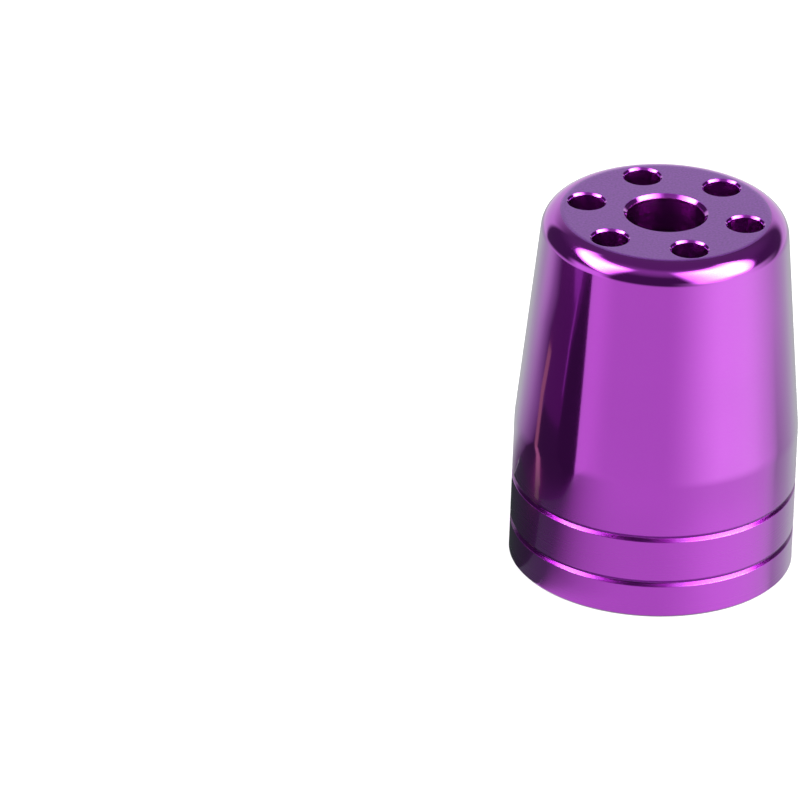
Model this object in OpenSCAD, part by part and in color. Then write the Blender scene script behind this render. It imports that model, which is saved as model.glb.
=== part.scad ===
// Bar end weight: a tapered cup turned from one aluminium bar.
// It stands on its open rim, with the drilled end face on top.

/* [Outside] */
// Diameter of the straight skirt at the open end
skirt_d = 38; // [34:0.5:44]
// Height from the rim to the end face
overall_h = 51; // [44:0.5:60]
// Height of the straight skirt, where the taper starts
skirt_h = 20; // [15:0.5:28]
// Diameter that the taper reaches at the end face, before the shoulder is rounded
end_d = 32.7; // [31.5:0.1:33.8]
// Radius of the shoulder round the end face
shoulder_r = 3; // [1:0.1:3.2]

/* [Pocket] */
// Thickness of the side wall
side_wall = 1.5; // [1:0.1:3]
// Thickness of the end wall
end_wall = 6; // [2:0.1:10]
// Radius in the corner between the pocket's side and its floor
pocket_corner_r = 1.5; // [0.5:0.1:3]
// Width of the chamfer on the rim's outer edge
rim_outer_chamfer = 0.3; // [0.1:0.05:0.45]
// Width of the chamfer on the rim's inner edge
rim_inner_chamfer = 0.3; // [0.1:0.05:0.45]

/* [Grooves] */
// Number of grooves turned round the skirt
groove_count = 2; // [0:1:2]
// Height of the lowest groove's middle above the rim
groove_first_z = 5.1; // [3:0.1:7]
// Distance from one groove to the next
groove_pitch = 6.7; // [4:0.1:7]
// Width of a groove's mouth
groove_w = 1; // [0.4:0.02:1.2]
// Depth of a groove
groove_depth = 0.3; // [0.1:0.01:0.6]

/* [Holes] */
// Diameter of the screw hole in the middle of the end face
screw_hole_d = 10.4; // [6:0.1:12]
// Width of the chamfer round the screw hole
screw_hole_chamfer = 0.5; // [0.1:0.05:0.8]
// Number of holes in the ring round the screw hole
ring_count = 6; // [3:1:6]
// Diameter of the circle on which the ring's holes lie
ring_circle_d = 21.7; // [20.8:0.1:22]
// Diameter of each hole in the ring
ring_hole_d = 4.8; // [3:0.1:4.9]
// Width of the chamfer round each hole in the ring
ring_hole_chamfer = 0.3; // [0.1:0.05:0.4]

/* [Hidden] */
$fn = 180;

skirt_r = skirt_d / 2;
pocket_floor_z = overall_h - end_wall;
// Angle between the taper and the axis
taper = atan((skirt_r - end_d / 2) / (overall_h - skirt_h));
// How far a cutting shape runs past the face that it cuts
overcut = 1;

// Radius at height z of the taper's line, moved inwards by inset square to itself
function taper_r(z, inset) = skirt_r - (z - skirt_h) * tan(taper) - inset / cos(taper);

// Half section of the outside, or of anything parallel to it at a distance of inset:
// a straight skirt, a taper, and a flat top met by an arc that touches both
module half_section(inset, bottom_z, top_z, corner_r) {
    arc_z = top_z - corner_r;
    arc_x = taper_r(arc_z, inset + corner_r);
    polygon([
        [0, bottom_z],
        [skirt_r - inset, bottom_z],
        [skirt_r - inset, skirt_h - inset * tan(taper / 2)],
        [arc_x + corner_r * cos(taper), arc_z + corner_r * sin(taper)],
        [arc_x, arc_z],
        [arc_x, top_z],
        [0, top_z]
    ]);
    translate([arc_x, arc_z]) circle(r = corner_r);
}

// Diamond that takes a 45 degree chamfer off a square corner at its centre
module corner_cut(leg) {
    rotate(45) square(leg * sqrt(2), center = true);
}

// V-shaped groove in the skirt's surface, cut by a pointed tool
module groove_cut() {
    mouth = groove_w / 2 * (groove_depth + overcut) / groove_depth;
    polygon([
        [skirt_r - groove_depth, 0],
        [skirt_r + overcut, -mouth],
        [skirt_r + overcut, mouth]
    ]);
}

// The turned section, before the end face is drilled
module turned_section() {
    difference() {
        half_section(0, 0, overall_h, shoulder_r);
        half_section(side_wall, -overcut, pocket_floor_z, pocket_corner_r);
        translate([skirt_r, 0]) corner_cut(rim_outer_chamfer);
        translate([skirt_r - side_wall, 0]) corner_cut(rim_inner_chamfer);
        for (i = [0 : 1 : groove_count - 1])
            translate([0, groove_first_z + i * groove_pitch]) groove_cut();
    }
}

// A hole drilled through the end wall from above, with its edge chamfered
module end_face_hole(hole_d, chamfer) {
    translate([0, 0, pocket_floor_z - overcut])
        cylinder(h = end_wall + 2 * overcut, d = hole_d);
    translate([0, 0, overall_h - chamfer])
        cylinder(h = chamfer + overcut, r1 = hole_d / 2, r2 = hole_d / 2 + chamfer + overcut);
}

module bar_end_weight() {
    color([0.64, 0.24, 0.72])
    difference() {
        rotate_extrude() turned_section();
        end_face_hole(screw_hole_d, screw_hole_chamfer);
        for (i = [0 : ring_count - 1])
            rotate(i * 360 / ring_count)
                translate([ring_circle_d / 2, 0, 0])
                    end_face_hole(ring_hole_d, ring_hole_chamfer);
    }
}

bar_end_weight();
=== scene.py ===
# %% [markdown]
# # A turned and anodised bar end weight
#
# The object is one hollow, tapered cup that covers the end of a motorbike's handlebar. It is turned from
# aluminium bar, its end face is drilled with one large hole and a ring of six small ones, and the whole
# piece is dyed purple by anodising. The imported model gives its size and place. This lesson makes a clean
# mesh of the same form, gives each turned zone its own finish, and lights it as a small product studio does.

import math

import bmesh
import bpy
from mathutils import Matrix, Vector


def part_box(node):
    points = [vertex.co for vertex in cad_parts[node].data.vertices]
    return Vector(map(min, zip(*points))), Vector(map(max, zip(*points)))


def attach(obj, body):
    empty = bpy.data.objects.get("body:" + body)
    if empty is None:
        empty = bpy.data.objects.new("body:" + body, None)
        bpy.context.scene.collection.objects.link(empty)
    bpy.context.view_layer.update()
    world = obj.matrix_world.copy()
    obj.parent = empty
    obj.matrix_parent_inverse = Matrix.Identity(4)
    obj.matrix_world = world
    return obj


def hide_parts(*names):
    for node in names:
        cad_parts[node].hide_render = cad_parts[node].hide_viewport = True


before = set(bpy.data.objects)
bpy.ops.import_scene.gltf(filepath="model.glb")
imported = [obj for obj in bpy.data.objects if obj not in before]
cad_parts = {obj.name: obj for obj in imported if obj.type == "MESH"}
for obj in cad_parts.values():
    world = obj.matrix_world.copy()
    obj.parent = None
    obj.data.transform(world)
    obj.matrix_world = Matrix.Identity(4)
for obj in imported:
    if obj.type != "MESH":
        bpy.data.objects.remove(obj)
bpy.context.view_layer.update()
cad_low, cad_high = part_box("bar_end_weight")
print("the model's box in millimetres:", [round(1000 * v, 2) for v in cad_high - cad_low])

# %% [markdown]
# ## The turned section
#
# A lathe makes one outline and spins it, so the outline is the whole design. All sizes are in millimetres.
# Only the overall height and diameter are read from the frame: the others are the drawing's own numbers.
# Arcs are worked out from a centre, a radius and two angles, and never listed point by point.
#
# Two V-shaped grooves run round the straight skirt. Polishing has also rounded the corner where the taper
# meets the skirt, and a mirror shows that: the corner here is an arc of large radius that touches both
# lines, and it takes only about 0.015 mm off the corner.

# %% Driving sizes of the section
MM = 0.001
skirt_r = round(1000 * cad_high.x, 1)
overall_h = round(1000 * cad_high.z, 1)
skirt_h = 20.0
end_r = 16.35
shoulder_r = 3.0
side_wall = 1.5
end_wall = 6.0
pocket_corner_r = 1.5
rim_chamfer = 0.3
groove_heights = (5.1, 11.8)
groove_w = 1.0
groove_depth = 0.3
break_r = 16.0

taper = math.atan((skirt_r - end_r) / (overall_h - skirt_h))
pocket_floor_z = overall_h - end_wall
print("taper, in degrees:", round(math.degrees(taper), 2))

# %% [markdown]
# Where two straight lines meet, smooth shading would smear the corner over the whole length of both lines.
# A mirror finish shows that at once. The cure is a pair of support points close to each end of a line: the
# shading then turns within that short distance, and the corner looks like a real one with its edge broken.
# On the end face the chamfers of the ring's holes end only 0.05 mm short of the shoulder, so the support
# points there stand closer.

# %% Helpers that draw the section
EDGE_BREAK = 0.07
FACE_BREAK = 0.015


def arc(centre, radius, start, end, steps):
    """Points (radius, height) on an arc, from one angle to another, in radians."""
    angles = [start + (end - start) * i / steps for i in range(steps + 1)]
    return [(centre[0] + radius * math.cos(a), centre[1] + radius * math.sin(a)) for a in angles]


def supported(points):
    """The same outline, with a support point near both ends of every line that is long enough."""
    out = [points[0]]
    for start, end in zip(points, points[1:]):
        length = math.dist(start, end)
        if length > 3 * EDGE_BREAK:
            for share in (EDGE_BREAK / length, 1 - EDGE_BREAK / length):
                out.append(tuple(a + (b - a) * share for a, b in zip(start, end)))
        out.append(end)
    return out


def taper_r(height, inset):
    """Radius of the taper's line at a height, moved inwards by inset square to itself."""
    return skirt_r - (height - skirt_h) * math.tan(taper) - inset / math.cos(taper)


def groove(height):
    """A V-shaped groove in the skirt, from its upper edge to its lower one."""
    half = groove_w / 2
    return [(skirt_r, height + half), (skirt_r - groove_depth, height), (skirt_r, height - half)]


# %% The outside, the rim and the pocket as one outline
shoulder_centre_z = overall_h - shoulder_r
shoulder_centre_r = taper_r(shoulder_centre_z, shoulder_r)
pocket_arc_z = pocket_floor_z - pocket_corner_r
pocket_arc_r = taper_r(pocket_arc_z, side_wall + pocket_corner_r)
face_edge_r = shoulder_centre_r - FACE_BREAK
floor_edge_r = pocket_arc_r - EDGE_BREAK
pocket_r = skirt_r - side_wall

SHOULDER_STEPS = 28
BREAK_STEPS = 8
POCKET_CORNER_STEPS = 12

section = [(face_edge_r, overall_h)]
section += arc((shoulder_centre_r, shoulder_centre_z), shoulder_r, math.pi / 2, taper, SHOULDER_STEPS)
break_centre = (skirt_r - break_r, skirt_h - break_r * math.tan(taper / 2))
section += arc(break_centre, break_r, taper, 0.0, BREAK_STEPS)
for z in sorted(groove_heights, reverse=True):
    section += groove(z)
section += [
    (skirt_r, rim_chamfer),
    (skirt_r - rim_chamfer, 0.0),
    (pocket_r + rim_chamfer, 0.0),
    (pocket_r, rim_chamfer),
    (pocket_r, skirt_h - side_wall * math.tan(taper / 2)),
]
section += arc((pocket_arc_r, pocket_arc_z), pocket_corner_r, taper, math.pi / 2, POCKET_CORNER_STEPS)
section += [(floor_edge_r, pocket_floor_z)]
section = supported(section)
print("points in the turned section:", len(section))

# %% [markdown]
# ## The drilled holes
#
# Each hole is turned too, about its own axis: a short 45 degree chamfer at the top and a straight wall
# below it. One outline serves both sizes of hole.

# %% Sizes and outlines of the holes
screw_hole_r = 5.2
screw_hole_chamfer = 0.5
ring_hole_r = 2.4
ring_hole_chamfer = 0.3
ring_count = 6
ring_radius = 10.85


def hole_section(radius, chamfer):
    """A hole's wall, from the pocket's floor up to the end face, with support rings on both flats."""
    return supported([
        (radius + EDGE_BREAK, pocket_floor_z),
        (radius, pocket_floor_z),
        (radius, overall_h - chamfer),
        (radius + chamfer, overall_h),
        (radius + chamfer + FACE_BREAK, overall_h),
    ])


def outline_object(name, points):
    """An outline as a chain of edges in the XZ plane, in metres."""
    mesh = bpy.data.meshes.new(name)
    corners = [(x * MM, 0.0, z * MM) for x, z in points]
    mesh.from_pydata(corners, [(i, i + 1) for i in range(len(corners) - 1)], [])
    obj = bpy.data.objects.new(name, mesh)
    bpy.context.scene.collection.objects.link(obj)
    return obj


weight = outline_object("turned_cup", section)
screw_hole = outline_object("screw_hole_outline", hole_section(screw_hole_r, screw_hole_chamfer))
ring_hole = outline_object("ring_hole_outline", hole_section(ring_hole_r, ring_hole_chamfer))

# %% [markdown]
# ## A lathe in Geometry Nodes
#
# The spin follows one rule: row i of a grid takes point i of the outline, turned about the axis by the
# column's share of a full circle. A grid's vertices are numbered row by row, so a division gives the row
# and its remainder gives the column. Spinning a curve would also work, but the rule keeps every point of
# the outline exactly where the drawing puts it. The first and last columns meet and are merged.

# %% Helpers that build node trees
LATHE_WELD = 0.001 * MM


def new_group(name, kind, sockets):
    """A node group with named sockets. Each is (name, "INPUT" or "OUTPUT", socket type, default)."""
    group = bpy.data.node_groups.new(name, kind)
    for label, way, socket_type, default in sockets:
        socket = group.interface.new_socket(name=label, in_out=way, socket_type=socket_type)
        if default is not None:
            socket.default_value = default
    return group


def put(tree, kind, **settings):
    """Adds a node and sets its properties."""
    node = tree.nodes.new(kind)
    for key, value in settings.items():
        setattr(node, key, value)
    return node


def socket_of(sockets, key):
    """A node's socket by place, or by name among those that its settings leave in use."""
    if isinstance(key, int):
        return sockets[key]
    return next(s for s in sockets if s.name == key and s.enabled)


def wire(tree, source, out, target, into):
    """Links one node's output to another's input."""
    tree.links.new(socket_of(source.outputs, out), socket_of(target.inputs, into))


def lathe_group():
    """Spins a chain of edges about Z."""
    tree = new_group("lathe", "GeometryNodeTree", [
        ("Outline", "INPUT", "NodeSocketGeometry", None),
        ("Steps", "INPUT", "NodeSocketInt", 64),
        ("Mesh", "OUTPUT", "NodeSocketGeometry", None),
    ])
    given = put(tree, "NodeGroupInput")
    result = put(tree, "NodeGroupOutput")
    size = put(tree, "GeometryNodeAttributeDomainSize")
    wire(tree, given, "Outline", size, "Geometry")
    columns = put(tree, "FunctionNodeIntegerMath", operation="ADD")
    columns.inputs[1].default_value = 1
    wire(tree, given, "Steps", columns, 0)
    grid = put(tree, "GeometryNodeMeshGrid")
    wire(tree, size, "Point Count", grid, "Vertices X")
    wire(tree, columns, 0, grid, "Vertices Y")
    index = put(tree, "GeometryNodeInputIndex")
    row = put(tree, "FunctionNodeIntegerMath", operation="DIVIDE_FLOOR")
    column = put(tree, "FunctionNodeIntegerMath", operation="MODULO")
    for node in (row, column):
        wire(tree, index, "Index", node, 0)
        wire(tree, columns, 0, node, 1)
    place = put(tree, "GeometryNodeInputPosition")
    sample = put(tree, "GeometryNodeSampleIndex", data_type="FLOAT_VECTOR", domain="POINT")
    wire(tree, given, "Outline", sample, "Geometry")
    wire(tree, place, "Position", sample, "Value")
    wire(tree, row, 0, sample, "Index")
    share = put(tree, "ShaderNodeMath", operation="DIVIDE")
    wire(tree, column, 0, share, 0)
    wire(tree, given, "Steps", share, 1)
    angle = put(tree, "ShaderNodeMath", operation="MULTIPLY")
    angle.inputs[1].default_value = 2 * math.pi
    wire(tree, share, 0, angle, 0)
    turn = put(tree, "ShaderNodeVectorRotate", rotation_type="Z_AXIS")
    wire(tree, sample, "Value", turn, "Vector")
    wire(tree, angle, 0, turn, "Angle")
    move = put(tree, "GeometryNodeSetPosition")
    wire(tree, grid, "Mesh", move, "Geometry")
    wire(tree, turn, "Vector", move, "Position")
    merge = put(tree, "GeometryNodeMergeByDistance")
    merge.inputs["Distance"].default_value = LATHE_WELD
    wire(tree, move, "Geometry", merge, "Geometry")
    wire(tree, merge, "Geometry", result, "Mesh")
    return tree


lathe = lathe_group()
print("nodes in the lathe:", len(lathe.nodes))

# %% [markdown]
# ## Turning and drilling the cup
#
# Cutting holes with booleans leaves slivers that a mirror finish shows. Here the end face is filled instead,
# as a flat sheet between circles: the large one round it and one for each hole. The holes' walls are turned
# with the same number of steps as their circles, so every seam matches point for point and is merged. The
# pocket's floor is filled in the same way and faces down. The ring of holes is one hole, placed on the
# points of a circle.

# %% The tree for the whole cup
SEAM_WELD = 0.002 * MM


def face_circle(tree, steps, radius, given):
    """A circle curve whose steps and radius come from the tree's inputs."""
    circle = put(tree, "GeometryNodeCurvePrimitiveCircle", mode="RADIUS")
    wire(tree, given, steps, circle, "Resolution")
    wire(tree, given, radius, circle, "Radius")
    return circle


def on_ring(tree, source, out, given):
    """Copies a hole or its circle onto the ring's points."""
    ring = put(tree, "GeometryNodeMeshCircle")
    wire(tree, given, "Ring count", ring, "Vertices")
    wire(tree, given, "Ring radius", ring, "Radius")
    copies = put(tree, "GeometryNodeInstanceOnPoints")
    wire(tree, ring, "Mesh", copies, "Points")
    wire(tree, source, out, copies, "Instance")
    return copies


def pierced_sheet(tree, given, edge, screw, small, height):
    """A flat sheet with its seven holes, lifted to a height."""
    outer = face_circle(tree, "Body steps", edge, given)
    middle = face_circle(tree, "Screw hole steps", screw, given)
    little = face_circle(tree, "Ring hole steps", small, given)
    join = put(tree, "GeometryNodeJoinGeometry")
    for circle in (outer, middle):
        wire(tree, circle, "Curve", join, "Geometry")
    wire(tree, on_ring(tree, little, "Curve", given), "Instances", join, "Geometry")
    solid = put(tree, "GeometryNodeRealizeInstances")
    wire(tree, join, "Geometry", solid, "Geometry")
    fill = put(tree, "GeometryNodeFillCurve")
    wire(tree, solid, "Geometry", fill, "Curve")
    up = put(tree, "ShaderNodeCombineXYZ")
    wire(tree, given, height, up, "Z")
    lift = put(tree, "GeometryNodeTransform")
    wire(tree, fill, "Mesh", lift, "Geometry")
    wire(tree, up, "Vector", lift, "Translation")
    return lift


def flipped(tree, source, out):
    """The same faces, looking the other way."""
    flip = put(tree, "GeometryNodeFlipFaces")
    wire(tree, source, out, flip, "Mesh")
    return flip


def spun(tree, steps, given, obj=None):
    """The lathe at work on the tree's own outline, or on another object's."""
    spin = put(tree, "GeometryNodeGroup", node_tree=lathe)
    wire(tree, given, steps, spin, "Steps")
    if obj is None:
        wire(tree, given, "Outline", spin, "Outline")
    else:
        info = put(tree, "GeometryNodeObjectInfo")
        info.inputs["Object"].default_value = obj
        wire(tree, info, "Geometry", spin, "Outline")
    return spin


def cup_tree():
    """The whole cup: spun outline, spun holes and two pierced sheets."""
    float_sizes = {
        "Face edge": face_edge_r,
        "Floor edge": floor_edge_r,
        "Screw hole at face": screw_hole_r + screw_hole_chamfer + FACE_BREAK,
        "Screw hole at floor": screw_hole_r + EDGE_BREAK,
        "Ring hole at face": ring_hole_r + ring_hole_chamfer + FACE_BREAK,
        "Ring hole at floor": ring_hole_r + EDGE_BREAK,
        "Ring radius": ring_radius,
        "Face height": overall_h,
        "Floor height": pocket_floor_z,
    }
    counts = {"Body steps": 288, "Screw hole steps": 128, "Ring hole steps": 72, "Ring count": ring_count}
    sockets = [("Outline", "INPUT", "NodeSocketGeometry", None)]
    sockets += [(name, "INPUT", "NodeSocketFloat", size * MM) for name, size in float_sizes.items()]
    sockets += [(name, "INPUT", "NodeSocketInt", count) for name, count in counts.items()]
    sockets += [
        ("Material", "INPUT", "NodeSocketMaterial", None),
        ("Mesh", "OUTPUT", "NodeSocketGeometry", None),
    ]
    tree = new_group("turned and drilled cup", "GeometryNodeTree", sockets)
    given = put(tree, "NodeGroupInput")
    result = put(tree, "NodeGroupOutput")
    body = spun(tree, "Body steps", given)
    screw = spun(tree, "Screw hole steps", given, screw_hole)
    small = spun(tree, "Ring hole steps", given, ring_hole)
    face = pierced_sheet(tree, given, "Face edge", "Screw hole at face", "Ring hole at face", "Face height")
    floor = pierced_sheet(
        tree, given, "Floor edge", "Screw hole at floor", "Ring hole at floor", "Floor height"
    )
    join = put(tree, "GeometryNodeJoinGeometry")
    wire(tree, body, "Mesh", join, "Geometry")
    wire(tree, screw, "Mesh", join, "Geometry")
    wire(tree, on_ring(tree, small, "Mesh", given), "Instances", join, "Geometry")
    wire(tree, face, "Geometry", join, "Geometry")
    wire(tree, flipped(tree, floor, "Geometry"), "Mesh", join, "Geometry")
    solid = put(tree, "GeometryNodeRealizeInstances")
    wire(tree, join, "Geometry", solid, "Geometry")
    weld = put(tree, "GeometryNodeMergeByDistance")
    weld.inputs["Distance"].default_value = SEAM_WELD
    wire(tree, solid, "Geometry", weld, "Geometry")
    smooth = put(tree, "GeometryNodeSetShadeSmooth")
    wire(tree, weld, "Geometry", smooth, "Geometry")
    dress = put(tree, "GeometryNodeSetMaterial")
    wire(tree, smooth, "Geometry", dress, "Geometry")
    wire(tree, given, "Material", dress, "Material")
    wire(tree, dress, "Geometry", result, "Mesh")
    return tree


cup = cup_tree()
print("nodes in the cup's tree:", len(cup.nodes))

# %% [markdown]
# ## The finish: anodised aluminium
#
# Anodising grows a clear, glassy oxide on the metal and dyes it. Light that reaches the metal comes back
# purple. Light that glances off the glassy top comes back white, which is why the edges of the cup look
# grey. A metallic surface with a purple base and a clear coat gives both.
#
# The lathe leaves its own marks. Their pattern runs along the outline, so one number that grows all the way
# along it, radius less height, drives them everywhere: rings on the end face, and hoops on the side.

# %% A group for the marks of the turning tool


def value_node(tree, operation, *given, clamp=False):
    """A Math node. Each argument is a number or a (node, output) pair."""
    node = put(tree, "ShaderNodeMath", operation=operation, use_clamp=clamp)
    for place, item in enumerate(given):
        if isinstance(item, tuple):
            wire(tree, item[0], item[1], node, place)
        else:
            node.inputs[place].default_value = item
    return node, 0


def outline_coordinate(tree):
    """Distance from the axis, height, and their difference, in millimetres, from Object coordinates."""
    place = put(tree, "ShaderNodeTexCoord")
    parts = put(tree, "ShaderNodeSeparateXYZ")
    wire(tree, place, "Object", parts, "Vector")
    flat = put(tree, "ShaderNodeCombineXYZ")
    wire(tree, parts, "X", flat, "X")
    wire(tree, parts, "Y", flat, "Y")
    length = put(tree, "ShaderNodeVectorMath", operation="LENGTH")
    wire(tree, flat, "Vector", length, 0)
    radius = value_node(tree, "MULTIPLY", (length, "Value"), 1 / MM)
    height = value_node(tree, "MULTIPLY", (parts, "Z"), 1 / MM)
    along = value_node(tree, "SUBTRACT", radius, height)
    return radius, height, along


def tool_marks_group():
    """Fine hoops of uneven depth, from a noise that only changes along the outline."""
    tree = new_group("tool marks", "ShaderNodeTree", [
        ("Marks per mm", "INPUT", "NodeSocketFloat", 6.0),
        ("Detail", "INPUT", "NodeSocketFloat", 3.0),
        ("Marks", "OUTPUT", "NodeSocketFloat", None),
    ])
    given = put(tree, "NodeGroupInput")
    result = put(tree, "NodeGroupOutput")
    along = outline_coordinate(tree)[2]
    noise = put(tree, "ShaderNodeTexNoise", noise_dimensions="1D")
    wire(tree, *along, noise, "W")
    wire(tree, given, "Marks per mm", noise, "Scale")
    wire(tree, given, "Detail", noise, "Detail")
    wire(tree, noise, "Fac", result, "Marks")
    return tree


tool_marks = tool_marks_group()
print("nodes in the tool marks:", len(tool_marks.nodes))

# %% [markdown]
# The turned zones differ. The taper is polished to a mirror and the skirt is left satin, with the polish
# fading out over a few millimetres below the corner. The end face is faced off and looks matt. The lower
# flanks of the grooves, the pocket and the walls of the holes are bright cuts with fine scratches. They see
# less light, and their colour is painted darker as painted shade. A mask for each zone comes from height and
# radius alone.

# %% A group that tells the zones apart


def step_mask(tree, source, low, high):
    """0 below low and 1 above high, with a smooth change between them."""
    node = put(tree, "ShaderNodeMapRange", interpolation_type="SMOOTHSTEP")
    wire(tree, *source, node, "Value")
    node.inputs["From Min"].default_value = low
    node.inputs["From Max"].default_value = high
    return node, "Result"


SATIN_FADE = 7.0
INSIDE_FROM = (0.7 * side_wall, 0.8 * side_wall)
GROOVE_FROM = (0.03, 0.05)
FACE_FROM = (overall_h - 0.06, overall_h - 0.02)


def zones_group():
    """Masks for the skirt, the end face and all that is inside. What none of them covers is the taper."""
    tree = new_group("turned zones", "ShaderNodeTree", [
        ("Skirt", "OUTPUT", "NodeSocketFloat", None),
        ("End face", "OUTPUT", "NodeSocketFloat", None),
        ("Inside", "OUTPUT", "NodeSocketFloat", None),
        ("Groove", "OUTPUT", "NodeSocketFloat", None),
    ])
    result = put(tree, "NodeGroupOutput")
    radius, height, _ = outline_coordinate(tree)
    above_skirt = step_mask(tree, height, skirt_h - SATIN_FADE, skirt_h + 0.5)
    slope = math.tan(taper)
    outside_r = value_node(tree, "MULTIPLY_ADD", height, -slope, skirt_r + skirt_h * slope)
    outside_r = value_node(tree, "MINIMUM", outside_r, skirt_r)
    depth = value_node(tree, "SUBTRACT", outside_r, radius)
    under_wall = step_mask(tree, depth, *INSIDE_FROM)
    under_skin = step_mask(tree, depth, *GROOVE_FROM)
    below_chamfers = value_node(tree, "LESS_THAN", height, overall_h - 0.9 * screw_hole_chamfer)
    inside = value_node(tree, "MULTIPLY", under_wall, below_chamfers)
    beside_holes = value_node(tree, "GREATER_THAN", radius, shoulder_centre_r - 0.02)
    at_shoulder = value_node(tree, "GREATER_THAN", height, shoulder_centre_z - 0.1)
    on_shoulder = value_node(tree, "MULTIPLY", beside_holes, at_shoulder)
    inside = value_node(tree, "SUBTRACT", inside, on_shoulder, clamp=True)
    on_face = step_mask(tree, height, *FACE_FROM)
    outside = value_node(tree, "SUBTRACT", 1.0, inside)
    skirt = value_node(tree, "SUBTRACT", 1.0, above_skirt)
    skirt = value_node(tree, "MULTIPLY", skirt, outside)
    groove_zone = value_node(tree, "MULTIPLY", under_skin, skirt)
    for middle in groove_heights:
        over_middle = value_node(tree, "GREATER_THAN", height, middle)
        under_lip = value_node(tree, "LESS_THAN", height, middle + groove_w)
        upper_flank = value_node(tree, "MULTIPLY", over_middle, under_lip)
        groove_zone = value_node(tree, "SUBTRACT", groove_zone, upper_flank, clamp=True)
    wire(tree, *skirt, result, "Skirt")
    wire(tree, *groove_zone, result, "Groove")
    wire(tree, *on_face, result, "End face")
    wire(tree, *inside, result, "Inside")
    return tree


zones = zones_group()
print("nodes that tell the zones apart:", len(zones.nodes))

# %% [markdown]
# One material holds all the zones. Colours and roughness go from one zone's value to the next by the masks.
# The clear coat is thinner on the cuts.

# %% Colours and roughness of the zones
DYE = (0.462, 0.026, 0.608, 1.0)
FACE_DYE = (0.288, 0.054, 0.49, 1.0)
# painted shade: the dye of the pocket and of the holes' walls is made darker, for the shade inside them
INSIDE_DYE_WITH_PAINTED_SHADE = (0.36, 0.045, 0.38, 1.0)
# painted shade: the grooves' dye is made darker, for the shade that falls in them
GROOVE_DYE_WITH_PAINTED_SHADE = (0.19, 0.010, 0.25, 1.0)
TAPER_ROUGHNESS = 0.09
SKIRT_ROUGHNESS = 0.27
FACE_ROUGHNESS = 0.42
INSIDE_ROUGHNESS = 0.16
GROOVE_ROUGHNESS = 0.16
CUT_COAT = 0.35


def blend_number(tree, mask, low, high):
    """A number that goes from low to high with a mask. Either end is a number or a (node, output) pair."""
    node = put(tree, "ShaderNodeMix", data_type="FLOAT")
    wire(tree, *mask, node, 0)
    for place, item in ((2, low), (3, high)):
        if isinstance(item, tuple):
            wire(tree, *item, node, place)
        else:
            node.inputs[place].default_value = item
    return node, 0


def blend_colour(tree, mask, low, high):
    """A colour that goes from low to high with a mask. Either end is a colour or a (node, output) pair."""
    node = put(tree, "ShaderNodeMix", data_type="RGBA")
    wire(tree, *mask, node, 0)
    for place, item in ((6, low), (7, high)):
        if len(item) == 2:
            wire(tree, *item, node, place)
        else:
            node.inputs[place].default_value = item
    return node, 2


# %% [markdown]
# Dye never takes evenly. The colour is a little cloudy all over, and the matt end face has a fine grain.

# %% The colour
CLOUD_SCALE = 90.0
CLOUD_SWING = 0.06
GRAIN_SCALE = 3000.0
FACE_GRAIN = 0.8


def noise_in_metal(tree, scale):
    """Noise on Object coordinates, with so many features in a metre."""
    place = put(tree, "ShaderNodeTexCoord")
    noise = put(tree, "ShaderNodeTexNoise")
    noise.inputs["Scale"].default_value = scale
    wire(tree, place, "Object", noise, "Vector")
    return noise, "Fac"


def dye_and_painted_shade(tree, zone):
    """Each zone's dye, with painted shade that darkens the grooves and the inside, cloudy all over and grainy
    on the end face.
    """
    colour = blend_colour(tree, (zone, "Groove"), DYE, GROOVE_DYE_WITH_PAINTED_SHADE)
    colour = blend_colour(tree, (zone, "Inside"), colour, INSIDE_DYE_WITH_PAINTED_SHADE)
    colour = blend_colour(tree, (zone, "End face"), colour, FACE_DYE)
    cloud = put(tree, "ShaderNodeMapRange")
    cloud.inputs["To Min"].default_value = 1 - CLOUD_SWING
    cloud.inputs["To Max"].default_value = 1 + CLOUD_SWING
    wire(tree, *noise_in_metal(tree, CLOUD_SCALE), cloud, "Value")
    speck = value_node(tree, "SUBTRACT", noise_in_metal(tree, GRAIN_SCALE), 0.5)
    speck = value_node(tree, "MULTIPLY", speck, (zone, "End face"))
    shade = value_node(tree, "MULTIPLY_ADD", speck, FACE_GRAIN, (cloud, "Result"))
    tint = put(tree, "ShaderNodeVectorMath", operation="SCALE")
    wire(tree, *colour, tint, 0)
    wire(tree, *shade, tint, "Scale")
    return tint, "Vector"


# %% [markdown]
# The marks of the turning tool do two things. They make the finish a little rougher and smoother from hoop
# to hoop, and they are a faint relief. The cuts have a second, finer set of marks, which are scratches.

# %% Roughness and relief
MARKS_PER_MM = 7.0
MARKS_SWING = 0.02
TAPER_MARKS = 0.12
SKIRT_MARKS = 0.02
SCRATCHES_PER_MM = 30.0
SCRATCH_DETAIL = 1.0
GROOVE_SCRATCHES = 4.0
INSIDE_SCRATCHES = 20.0
BUMP_STRENGTH = 0.25
BUMP_DISTANCE = 0.01 * MM


def marked_roughness(tree, zone, marks):
    """Each zone's roughness, swinging a little with the marks of the tool."""
    rough = blend_number(tree, (zone, "Skirt"), TAPER_ROUGHNESS, SKIRT_ROUGHNESS)
    rough = blend_number(tree, (zone, "Groove"), rough, GROOVE_ROUGHNESS)
    rough = blend_number(tree, (zone, "Inside"), rough, INSIDE_ROUGHNESS)
    rough = blend_number(tree, (zone, "End face"), rough, FACE_ROUGHNESS)
    swing = value_node(tree, "MULTIPLY_ADD", (marks, "Marks"), MARKS_SWING, -MARKS_SWING / 2)
    return value_node(tree, "ADD", rough, swing, clamp=True)


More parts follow.
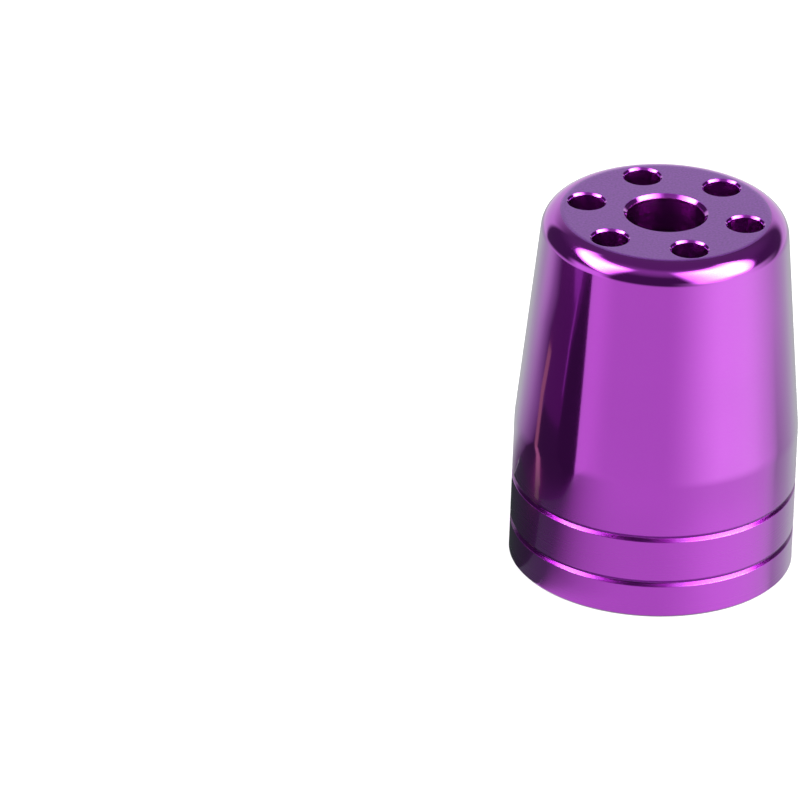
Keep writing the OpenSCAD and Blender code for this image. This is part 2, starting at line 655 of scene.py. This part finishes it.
def marked_normal(tree, zone, marks):
    """The relief of the tool's marks, with deeper scratches on the cuts."""
    strength = blend_number(tree, (zone, "Skirt"), TAPER_MARKS, SKIRT_MARKS)
    height = value_node(tree, "MULTIPLY", (marks, "Marks"), strength)
    scratches = put(tree, "ShaderNodeGroup", node_tree=tool_marks)
    scratches.inputs["Marks per mm"].default_value = SCRATCHES_PER_MM
    scratches.inputs["Detail"].default_value = SCRATCH_DETAIL
    depth = blend_number(tree, (zone, "Groove"), 0.0, GROOVE_SCRATCHES)
    depth = blend_number(tree, (zone, "Inside"), depth, INSIDE_SCRATCHES)
    height = value_node(tree, "MULTIPLY_ADD", (scratches, "Marks"), depth, height)
    bump = put(tree, "ShaderNodeBump")
    bump.inputs["Strength"].default_value = BUMP_STRENGTH
    bump.inputs["Distance"].default_value = BUMP_DISTANCE
    wire(tree, *height, bump, "Height")
    return bump, "Normal"


# %% The anodised finish
COAT_IOR = 1.6
COAT_ROUGHNESS = 0.06


def anodised():
    """Purple anodised aluminium, with one finish for each turned zone."""
    material = bpy.data.materials.new("purple_anodised")
    material.use_nodes = True
    tree = material.node_tree
    shader = tree.nodes["Principled BSDF"]
    shader.inputs["Metallic"].default_value = 1.0
    shader.inputs["Coat IOR"].default_value = COAT_IOR
    shader.inputs["Coat Roughness"].default_value = COAT_ROUGHNESS
    zone = put(tree, "ShaderNodeGroup", node_tree=zones)
    marks = put(tree, "ShaderNodeGroup", node_tree=tool_marks)
    marks.inputs["Marks per mm"].default_value = MARKS_PER_MM
    cut = value_node(tree, "MAXIMUM", (zone, "Groove"), (zone, "Inside"))
    wire(tree, *dye_and_painted_shade(tree, zone), shader, "Base Color")
    wire(tree, *marked_roughness(tree, zone, marks), shader, "Roughness")
    wire(tree, *blend_number(tree, cut, 1.0, CUT_COAT), shader, "Coat Weight")
    wire(tree, *marked_normal(tree, zone, marks), shader, "Normal")
    return material


purple_anodised = anodised()
print("finish made:", purple_anodised.name)

# %% [markdown]
# ## From the tree to a plain mesh
#
# The modifier's inputs are set by each socket's identifier. The evaluated result is then copied to a plain
# mesh, and the modifier and the outlines are removed. The volume tells which way the faces look: it is
# positive only when they all look outwards.

# %% Evaluate the cup


def set_input(modifier, name, value):
    """Sets a modifier's input by the identifier of the socket with that name."""
    for item in modifier.node_group.interface.items_tree:
        if item.item_type == "SOCKET" and item.in_out == "INPUT" and item.name == name:
            modifier[item.identifier] = value


def baked_mesh(obj):
    """The evaluated object as a plain mesh."""
    bpy.context.view_layer.update()
    evaluated = obj.evaluated_get(bpy.context.evaluated_depsgraph_get())
    return bpy.data.meshes.new_from_object(evaluated)


def look_outwards(mesh):
    """Makes all faces look the same way, outwards. Returns the volume and the count of open edges."""
    work = bmesh.new()
    work.from_mesh(mesh)
    bmesh.ops.recalc_face_normals(work, faces=work.faces)
    if work.calc_volume(signed=True) < 0:
        bmesh.ops.reverse_faces(work, faces=work.faces)
    volume = work.calc_volume(signed=True)
    open_edges = sum(1 for e in work.edges if not e.is_manifold)
    work.to_mesh(mesh)
    work.free()
    return volume, open_edges


modifier = weight.modifiers.new("turned and drilled cup", "NODES")
modifier.node_group = cup
set_input(modifier, "Material", purple_anodised)
mesh = baked_mesh(weight)
weight.modifiers.remove(modifier)
weight.data = mesh
for outline in (screw_hole, ring_hole):
    bpy.data.objects.remove(outline)
volume, open_edges = look_outwards(mesh)
mesh.materials.clear()
mesh.materials.append(purple_anodised)
print("volume in mm3:", round(volume / MM**3, 1), "open edges:", open_edges, "faces:", len(mesh.polygons))

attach(weight, "root")
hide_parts("bar_end_weight")
weight.name = "bar_end_weight_finished"

# %% [markdown]
# ## Camera
#
# The photograph was taken with a long lens from a little above, so upright edges hardly converge. The camera
# is placed by its azimuth, elevation and distance from a point on the cup's axis, then aimed so that this
# point falls on its own pixel of the photograph, and rolled as the photograph is.

# %% Place the camera
FRAME_PIXELS = 800
FOCAL_PIXELS = 20000
SENSOR_MM = 36.0
VIEW_AZIMUTH = math.radians(11.92)
VIEW_ELEVATION = math.radians(27.59)
VIEW_ROLL = math.radians(2.3)
AIM_HEIGHT = 22 * MM
AIM_PIXEL = (656.9, 405.4)
DISTANCE = 2675.4 * MM
AIM_ROUNDS = 4


def camera_axes(towards, roll):
    """Right and up vectors of a camera that looks along a direction, rolled about it."""
    right = towards.cross(Vector((0, 0, 1))).normalized()
    up = right.cross(towards)
    down = -up
    rolled_right = right * math.cos(roll) - down * math.sin(roll)
    rolled_down = right * math.sin(roll) + down * math.cos(roll)
    return rolled_right, -rolled_down


def place_camera():
    """The camera of the photograph."""
    data = bpy.data.cameras.new("camera")
    data.sensor_width = SENSOR_MM
    data.lens = FOCAL_PIXELS * SENSOR_MM / FRAME_PIXELS
    data.clip_end = 100.0
    camera = bpy.data.objects.new("camera", data)
    bpy.context.scene.collection.objects.link(camera)
    target = Vector((0, 0, AIM_HEIGHT))
    flat = math.cos(VIEW_ELEVATION)
    back = Vector((math.sin(VIEW_AZIMUTH) * flat, -math.cos(VIEW_AZIMUTH) * flat, math.sin(VIEW_ELEVATION)))
    eye = target + back * DISTANCE
    across = (AIM_PIXEL[0] - FRAME_PIXELS / 2) * DISTANCE / FOCAL_PIXELS
    down = (AIM_PIXEL[1] - FRAME_PIXELS / 2) * DISTANCE / FOCAL_PIXELS
    towards = -back
    for _ in range(AIM_ROUNDS):
        right, up = camera_axes(towards, VIEW_ROLL)
        towards = (target - right * across + up * down - eye).normalized()
    right, up = camera_axes(towards, VIEW_ROLL)
    axes = Matrix((right, up, -towards)).transposed()
    camera.matrix_world = Matrix.Translation(eye) @ axes.to_4x4()
    bpy.context.scene.camera = camera
    return camera


camera = place_camera()
print("camera stands at, in metres:", [round(v, 3) for v in camera.location])

# %% [markdown]
# ## The studio
#
# A mirror finish is a picture of the room. The far part of the room is a shader of the world that depends on
# direction alone: a white table below the horizon, a dark room above it, a white sweep of paper behind, and
# large softboxes to the left and right of the camera. Directions are fixed in the room, in degrees. They are
# measured from its front, where the photograph was taken: azimuth grows to the right, elevation upwards.

# %% A group for one lit or dark patch of the room


def patch_group():
    """A soft-edged patch in azimuth and elevation. A lean moves a side by so much per degree of height."""
    tree = new_group("patch of the room", "ShaderNodeTree", [
        ("Azimuth", "INPUT", "NodeSocketFloat", 0.0),
        ("Elevation", "INPUT", "NodeSocketFloat", 0.0),
        ("Left", "INPUT", "NodeSocketFloat", -10.0),
        ("Right", "INPUT", "NodeSocketFloat", 10.0),
        ("Low", "INPUT", "NodeSocketFloat", 0.0),
        ("High", "INPUT", "NodeSocketFloat", 10.0),
        ("Left blur", "INPUT", "NodeSocketFloat", 2.0),
        ("Right blur", "INPUT", "NodeSocketFloat", 2.0),
        ("Low blur", "INPUT", "NodeSocketFloat", 2.0),
        ("High blur", "INPUT", "NodeSocketFloat", 2.0),
        ("Left lean", "INPUT", "NodeSocketFloat", 0.0),
        ("Right lean", "INPUT", "NodeSocketFloat", 0.0),
        ("Mask", "OUTPUT", "NodeSocketFloat", None),
    ])
    given = put(tree, "NodeGroupInput")
    result = put(tree, "NodeGroupOutput")
    mask = 1.0
    height = value_node(tree, "SUBTRACT", (given, "Elevation"), (given, "Low"))
    sides = (
        ("Azimuth", "Left", 1), ("Azimuth", "Right", -1), ("Elevation", "Low", 1), ("Elevation", "High", -1),
    )
    for axis, edge, sign in sides:
        place = (given, edge)
        if axis == "Azimuth":
            place = value_node(tree, "MULTIPLY_ADD", height, (given, edge + " lean"), place)
        inside = value_node(tree, "SUBTRACT", (given, axis), place)
        inside = value_node(tree, "MULTIPLY", inside, sign)
        inside = value_node(tree, "DIVIDE", inside, (given, edge + " blur"))
        soft = put(tree, "ShaderNodeMapRange", interpolation_type="SMOOTHSTEP")
        soft.inputs["From Min"].default_value = -1.0
        wire(tree, *inside, soft, "Value")
        mask = value_node(tree, "MULTIPLY", (soft, "Result"), mask)
    wire(tree, *mask, result, "Mask")
    return tree


patch = patch_group()
print("nodes in a patch:", len(patch.nodes))

# %% The room itself
TABLE = (0.80, 0.80, 0.80)
DARK_ROOM = (0.085, 0.055, 0.095)
PATCHES = [
    # colour of the light, (left, right, low, high), the blur of each, and the lean of left and right
    ("ceiling", (0.17, 0.13, 0.18), (-220, 220, 38, 100), (1, 1, 12, 1), (0, 0)),
    ("ceiling in front", (0.40, 0.36, 0.42), (-75, 75, 43, 68), (30, 30, 16, 10), (0, 0)),
    ("sweep, left", (0.85, 0.85, 0.85), (-220, -131, -13, 30), (1, 4, 4, 12), (0, -0.3)),
    ("sweep, right", (0.85, 0.85, 0.85), (118, 220, -13, 30), (8, 1, 4, 12), (1.1, 0)),
    ("table behind, left", (0.53, 0.64, 0.55), (-220, -128, -90, -13), (1, 14, 1, 5), (0, 0)),
    ("table behind, right", (0.60, 0.72, 0.62), (122, 220, -90, -13), (20, 1, 1, 5), (0, 0)),
    ("table straight behind", (0.47, 0.48, 0.49), (158, 220, -90, -13), (14, 1, 1, 5), (0, 0)),
    ("table straight behind, left", (0.47, 0.48, 0.49), (-220, -162, -90, -13), (1, 12, 1, 5), (0, 0)),
    ("glow beside the dark card", (0.95, 0.95, 0.93), (-66, -48, -24, -12), (3, 12, 3, 3), (0, 0)),
    ("glow on the table", (1.40, 1.95, 1.34), (32, 100, -26, 5), (27, 25, 7, 5), (0, 0)),
    ("glow under the left softbox", (1.2, 1.2, 1.2), (-88, -52, -17, 4), (8, 8, 3, 6), (0, 0)),
    ("left softbox", (13.0, 13.0, 13.0), (-54, -59, 5, 53), (9, 15, 7, 9), (-1.4, 0.3)),
    ("right softbox, side panel", (3.5, 3.5, 3.5), (32, 60, -3, 58), (8, 8, 8, 8), (-0.3, 0)),
    ("right softbox", (13.0, 13.0, 13.0), (51, 82, 6, 58), (18, 8, 7, 9), (-0.3, 0.42)),
]


HORIZON = -12.0
HORIZON_BLUR = 5.0
WHITE = (1.0, 1.0, 1.0, 1.0)


def opaque(colour):
    """A colour of three numbers with a fourth for alpha."""
    return (*colour, 1.0)


def room_world():
    """The world: white to the camera, a soft even light for the floor, and the room for reflections."""
    world = bpy.data.worlds.new("studio")
    bpy.context.scene.world = world
    world.use_nodes = True
    tree = world.node_tree
    tree.nodes.clear()
    place = put(tree, "ShaderNodeTexCoord")
    turn = put(tree, "ShaderNodeVectorRotate", rotation_type="Z_AXIS")
    turn.inputs["Angle"].default_value = -VIEW_AZIMUTH
    wire(tree, place, "Generated", turn, "Vector")
    parts = put(tree, "ShaderNodeSeparateXYZ")
    wire(tree, turn, "Vector", parts, "Vector")
    towards = value_node(tree, "MULTIPLY", (parts, "Y"), -1.0)
    azimuth = value_node(tree, "ARCTAN2", (parts, "X"), towards)
    azimuth = value_node(tree, "DEGREES", azimuth)
    elevation = value_node(tree, "ARCSINE", (parts, "Z"))
    elevation = value_node(tree, "DEGREES", elevation)
    above = step_mask(tree, elevation, HORIZON - HORIZON_BLUR, HORIZON + HORIZON_BLUR)
    light = blend_colour(tree, above, opaque(TABLE), opaque(DARK_ROOM))
    for name, colour, extent, blur, lean in PATCHES:
        node = put(tree, "ShaderNodeGroup", node_tree=patch, label=name)
        wire(tree, *azimuth, node, "Azimuth")
        wire(tree, *elevation, node, "Elevation")
        for side, angle, soft in zip(("Left", "Right", "Low", "High"), extent, blur):
            node.inputs[side].default_value = angle
            node.inputs[side + " blur"].default_value = soft
        node.inputs["Left lean"].default_value, node.inputs["Right lean"].default_value = lean
        light = blend_colour(tree, (node, "Mask"), light, opaque(colour))
    path = put(tree, "ShaderNodeLightPath")
    light = blend_colour(tree, (path, "Is Camera Ray"), light, WHITE)
    light = blend_colour(tree, (path, "Is Diffuse Ray"), light, WHITE)
    background = put(tree, "ShaderNodeBackground")
    wire(tree, *light, background, "Color")
    output = put(tree, "ShaderNodeOutputWorld")
    wire(tree, background, "Background", output, "Surface")
    return world


room = room_world()
print("patches in the room:", len(PATCHES), "nodes in its shader:", len(room.node_tree.nodes))

# %% [markdown]
# ## Cards on the table
#
# What lies close to the cup can't be a direction alone, because each height on the cup sees it in another
# direction. A large dark card on the table to the left is painted shade: it stands for a dark object lying
# there and its shadow, and gives the bright metal its dark band as a painted reflection. Thin paler strips on
# it paint the fine lines in that band. The cards lie in order, each a hair above the last, and shine with a
# colour of their own, so that no lamp has to reach them.

# %% Cards that only reflections see
CARD_LIFT = 0.02
# Painted shade and painted reflection: the dark cards stand for a dark object lying to the left and its
# shadow on the table, and the paler strips for fine lines in its reflection.
NEAR_CARDS = [
    # colour of the light, and the corners: millimetres to the camera's right of the axis, and away from it
    ("dark_card", (0.118, 0.045, 0.125), [
        (-44, -29.5), (-66, -41.4), (-98, -55), (-150, -74), (-150, 30), (-122, 14),
        (-104, 21), (-92, 16), (-80, 8), (-66, 10), (-48, 14), (-38, 18.5),
    ]),
    ("dark_card_middle", (0.055, 0.035, 0.06), [
        (-40, -20), (-44, -29.5), (-66, -41.4), (-80, -47), (-79, -19),
        (-80, 8), (-66, 10), (-48, 14), (-38, 18.5),
    ]),
    ("dark_card_near", (0.085, 0.15, 0.095), [
        (-15.5, -11.9), (-25, -14), (-40, -20), (-38, 18.5), (-15, 18),
    ]),
    ("dark_card_far_side", (0.025, 0.045, 0.03), [
        (-17, -7), (-23, -8), (-40, -6), (-38, 18.5), (-15, 18),
    ]),
    ("dark_edge", (0.05, 0.03, 0.055), [
        (-42, -21), (-44, -29.5), (-66, -41.4), (-98, -55), (-150, -74), (-150, -60),
        (-135, -50), (-124, -39), (-113, -28), (-101, -24), (-90, -22), (-79, -19),
    ]),
    ("pale_streak", (0.42, 0.20, 0.46), [
        (-92, -18.8), (-113, -23.2), (-138, -35.5), (-150, -40),
        (-150, -46), (-138, -40), (-113, -25.6), (-92, -19.9),
    ]),
    ("pale_streak_end", (0.36, 0.16, 0.40), [(-130, -27), (-150, -14), (-150, -48), (-134, -40)]),
    ("warm_strip", (0.42, 0.36, 0.21), [
        (-38, -4.6), (-66, 6.0), (-81, 11.6), (-99, 12.0),
        (-99, 19.5), (-81, 18.0), (-66, 10.8), (-38, -1.6),
    ]),
    ("warm_strip_near", (0.55, 0.44, 0.30), [(-42, -4.0), (-60, 3.4), (-60, 8.2), (-42, 0.0)]),
]
print("cards on the table:", len(NEAR_CARDS))

# %% [markdown]
# Some edges of the dark card are soft, as the edge of a shadow is. Such an edge is a strip between rows of
# points. Each row has a colour and says how much of the table it hides, and the shader blends from row to
# row. The strip also fades out towards its end. The cup's own faint shade on the table is made the same way.

# %% Soft edges of the dark card, and the cup's own shade
SOFT_EDGES = [
    # for each edge its rows, from the card outwards: colour, how much of the table it hides, and its places
    ("shade_beside_skirt", [
        ((0.085, 0.15, 0.095), 1.0, [
            (-15.5, -11.9), (-24.0, -13.6), (-33.0, -17.0), (-41.8, -20.5), (-44, -29.5),
        ]),
        ((0.28, 0.28, 0.28), 1.0, [
            (-15.2, -12.2), (-20.0, -16.3), (-28.0, -20.0), (-40.0, -26.0), (-46, -33),
        ]),
        ((0.45, 0.45, 0.45), 1.0, [
            (-14.8, -12.6), (-16.0, -17.5), (-24.0, -22.5), (-38.0, -32.0), (-49, -37),
        ]),
        ((0.62, 0.62, 0.62), 1.0, [
            (-14.2, -13.2), (-14.0, -20.0), (-21.0, -26.0), (-34.0, -38.0), (-53, -42),
        ]),
        ((0.74, 0.74, 0.74), 1.0, [
            (-13.4, -14.0), (-10.0, -22.0), (-17.0, -31.0), (-31.0, -45.0), (-58, -49),
        ]),
        ((0.80, 0.80, 0.80), 0.0, [
            (-12.2, -15.0), (-5.0, -25.0), (-10.0, -39.0), (-26.0, -57.0), (-66, -59),
        ]),
    ]),
    ("far_side_of_card", [
        ((0.10, 0.05, 0.11), 1.0, [
            (-150, 30), (-122, 14), (-104, 21), (-92, 16), (-80, 8),
            (-66, 10), (-48, 14), (-36, 19), (-15, 18),
        ]),
        ((0.24, 0.20, 0.26), 0.75, [
            (-150, 50), (-114, 34), (-96, 36), (-82, 30), (-70, 24),
            (-56, 22), (-44, 23), (-34, 25), (-15, 23),
        ]),
        ((0.60, 0.62, 0.62), 0.0, [
            (-150, 80), (-92, 62), (-74, 60), (-58, 56), (-46, 50),
            (-38, 44), (-32, 38), (-26, 34), (-13, 29),
        ]),
    ]),
    ("shade_of_cup", [
        ((0.85, 1.05, 0.85), 0.0, [(13.4, -13.4), (50, -13.4), (120, -13.4)]),
        ((0.80, 1.00, 0.80), 0.4, [(15.1, -11.6), (50, -2.2), (118, 16)]),
        ((0.46, 0.60, 0.47), 1.0, [(16.3, -9.8), (50, 8.1), (105, 37)]),
        ((0.50, 0.62, 0.52), 0.7, [(18.1, -5.7), (38, 22.8), (72, 71)]),
        ((0.50, 0.55, 0.52), 0.0, [(18.9, -1.7), (25, 32), (33, 78)]),
    ]),
]
print("soft edges:", [name for name, rows in SOFT_EDGES])

# %% [markdown]
# One material serves all the cards. It reads its colour and its cover from an attribute stored in the
# points, so that a plain card and a soft edge are made by the same function.

# %% Lay the cards


def glossy_only(obj):
    """Hides a card from the camera and from the light on the paper, so that only reflections see it."""
    obj.visible_camera = False
    obj.visible_diffuse = False
    obj.visible_transmission = False
    obj.visible_volume_scatter = False
    obj.visible_shadow = False
    return obj


def on_table(right, away, height):
    """A point in metres from its place as the camera sees the table, in millimetres."""
    turned = Matrix.Rotation(VIEW_AZIMUTH, 3, "Z") @ Vector((right, away, height))
    return turned * MM


def card_material(name):
    """Shines with the colour stored in the card's points, and is clear where their alpha is low."""
    material = bpy.data.materials.new(name)
    material.use_nodes = True
    tree = material.node_tree
    tree.nodes.clear()
    stored = put(tree, "ShaderNodeAttribute", attribute_name="light")
    shine = put(tree, "ShaderNodeEmission")
    wire(tree, stored, "Color", shine, "Color")
    clear = put(tree, "ShaderNodeBsdfTransparent")
    mix = put(tree, "ShaderNodeMixShader")
    wire(tree, stored, "Alpha", mix, 0)
    wire(tree, clear, "BSDF", mix, 1)
    wire(tree, shine, "Emission", mix, 2)
    output = put(tree, "ShaderNodeOutputMaterial")
    wire(tree, mix, "Shader", output, "Surface")
    return material


card_finish = card_material("card")


def card_object(name, points, faces, lights, height):
    """A flat shape on the table whose every point has its own colour and alpha."""
    mesh = bpy.data.meshes.new(name)
    mesh.from_pydata([on_table(x, y, height) for x, y in points], [], faces)
    stored = mesh.color_attributes.new("light", "FLOAT_COLOR", "POINT")
    for item, light in zip(stored.data, lights):
        item.color = light
    mesh.materials.append(card_finish)
    obj = bpy.data.objects.new(name, mesh)
    bpy.context.scene.collection.objects.link(obj)
    return glossy_only(obj)


def card(name, colour, corners, height):
    """A card of one colour."""
    return card_object(name, corners, [tuple(range(len(corners)))], [opaque(colour)] * len(corners), height)


ROW_STEPS = 6
END_STEPS = 5


def finer(row):
    """A row with points added evenly between its own."""
    out = [row[0]]
    for start, end in zip(row, row[1:]):
        for i in range(1, ROW_STEPS + 1):
            out.append(tuple(a + (b - a) * i / ROW_STEPS for a, b in zip(start, end)))
    return out


def soft_edge(name, rows, height):
    """A strip whose colour and alpha go smoothly from each row of points to the next."""
    points = []
    lights = []
    for colour, cover, places in rows:
        row = finer(places)
        points += row
        for i in range(len(row)):
            fade = min(1.0, (len(row) - 1 - i) / END_STEPS)
            lights.append((*colour, cover * fade))
    wide = len(points) // len(rows)
    faces = [
        (r * wide + c, r * wide + c + 1, (r + 1) * wide + c + 1, (r + 1) * wide + c)
        for r in range(len(rows) - 1)
        for c in range(wide - 1)
    ]
    return card_object(name, points, faces, lights, height)


for layer, (name, rows) in enumerate(SOFT_EDGES, start=1):
    soft_edge(name, rows, layer * CARD_LIFT)
for layer, (name, colour, corners) in enumerate(NEAR_CARDS, start=len(SOFT_EDGES) + 1):
    card(name, colour, corners, layer * CARD_LIFT)

# %% [markdown]
# No light gets in under the rim of a cup that stands on paper. Reflections pass through the paper, so a
# black disc closes the mouth and keeps the light of the world out of the pocket and the holes.

# %% The dark under the cup
MOUTH_STEPS = 64
mouth_r = pocket_r - rim_chamfer
turns = [2 * math.pi * i / MOUTH_STEPS for i in range(MOUTH_STEPS)]
mouth_edge = [(mouth_r * math.cos(a), mouth_r * math.sin(a)) for a in turns]
card("dark_mouth", (0.0, 0.0, 0.0), mouth_edge, CARD_LIFT)
print("radius of the dark mouth in millimetres:", round(mouth_r, 2))

# %% [markdown]
# ## The floor
#
# The floor is white paper. It keeps the soft shadow that the cup throws, but it is lifted towards pure white
# for the camera, as the photograph's background is. Reflections pass through it, because the table that the
# cup mirrors is already part of the room. From below it is clear, so that the rim and the pocket show.

# %% The floor
PAPER_WHITE = (0.93, 0.93, 0.93, 1.0)
PAPER_GLOW = 1.06
PAPER_LIFT = 0.6
FLOOR_HALF_SIZE = 2.0


def paper():
    """White paper that is clear when it is seen from below."""
    material = bpy.data.materials.new("white_paper")
    material.use_nodes = True
    tree = material.node_tree
    tree.nodes.clear()
    diffuse = put(tree, "ShaderNodeBsdfDiffuse")
    diffuse.inputs["Color"].default_value = PAPER_WHITE
    glow = put(tree, "ShaderNodeEmission")
    glow.inputs["Strength"].default_value = PAPER_GLOW
    lift = put(tree, "ShaderNodeMixShader")
    lift.inputs[0].default_value = PAPER_LIFT
    wire(tree, diffuse, "BSDF", lift, 1)
    wire(tree, glow, "Emission", lift, 2)
    clear = put(tree, "ShaderNodeBsdfTransparent")
    side = put(tree, "ShaderNodeNewGeometry")
    mix = put(tree, "ShaderNodeMixShader")
    wire(tree, side, "Backfacing", mix, 0)
    wire(tree, lift, "Shader", mix, 1)
    wire(tree, clear, "BSDF", mix, 2)
    output = put(tree, "ShaderNodeOutputMaterial")
    wire(tree, mix, "Shader", output, "Surface")
    return material


def floor_plane(half_size):
    """A square of paper at the height of the rim."""
    mesh = bpy.data.meshes.new("floor")
    s = half_size
    mesh.from_pydata([(-s, -s, 0), (s, -s, 0), (s, s, 0), (-s, s, 0)], [], [(0, 1, 2, 3)])
    mesh.materials.append(paper())
    obj = bpy.data.objects.new("floor", mesh)
    bpy.context.scene.collection.objects.link(obj)
    obj.visible_glossy = False
    return obj


floor = floor_plane(FLOOR_HALF_SIZE)
print("floor made:", floor.name, "with", len(floor.data.polygons), "face")

# %% [markdown]
# ## Finish
#
# The colours leave the scene unchanged, through the Standard view.

# %% The view
bpy.context.scene.view_settings.view_transform = "Standard"
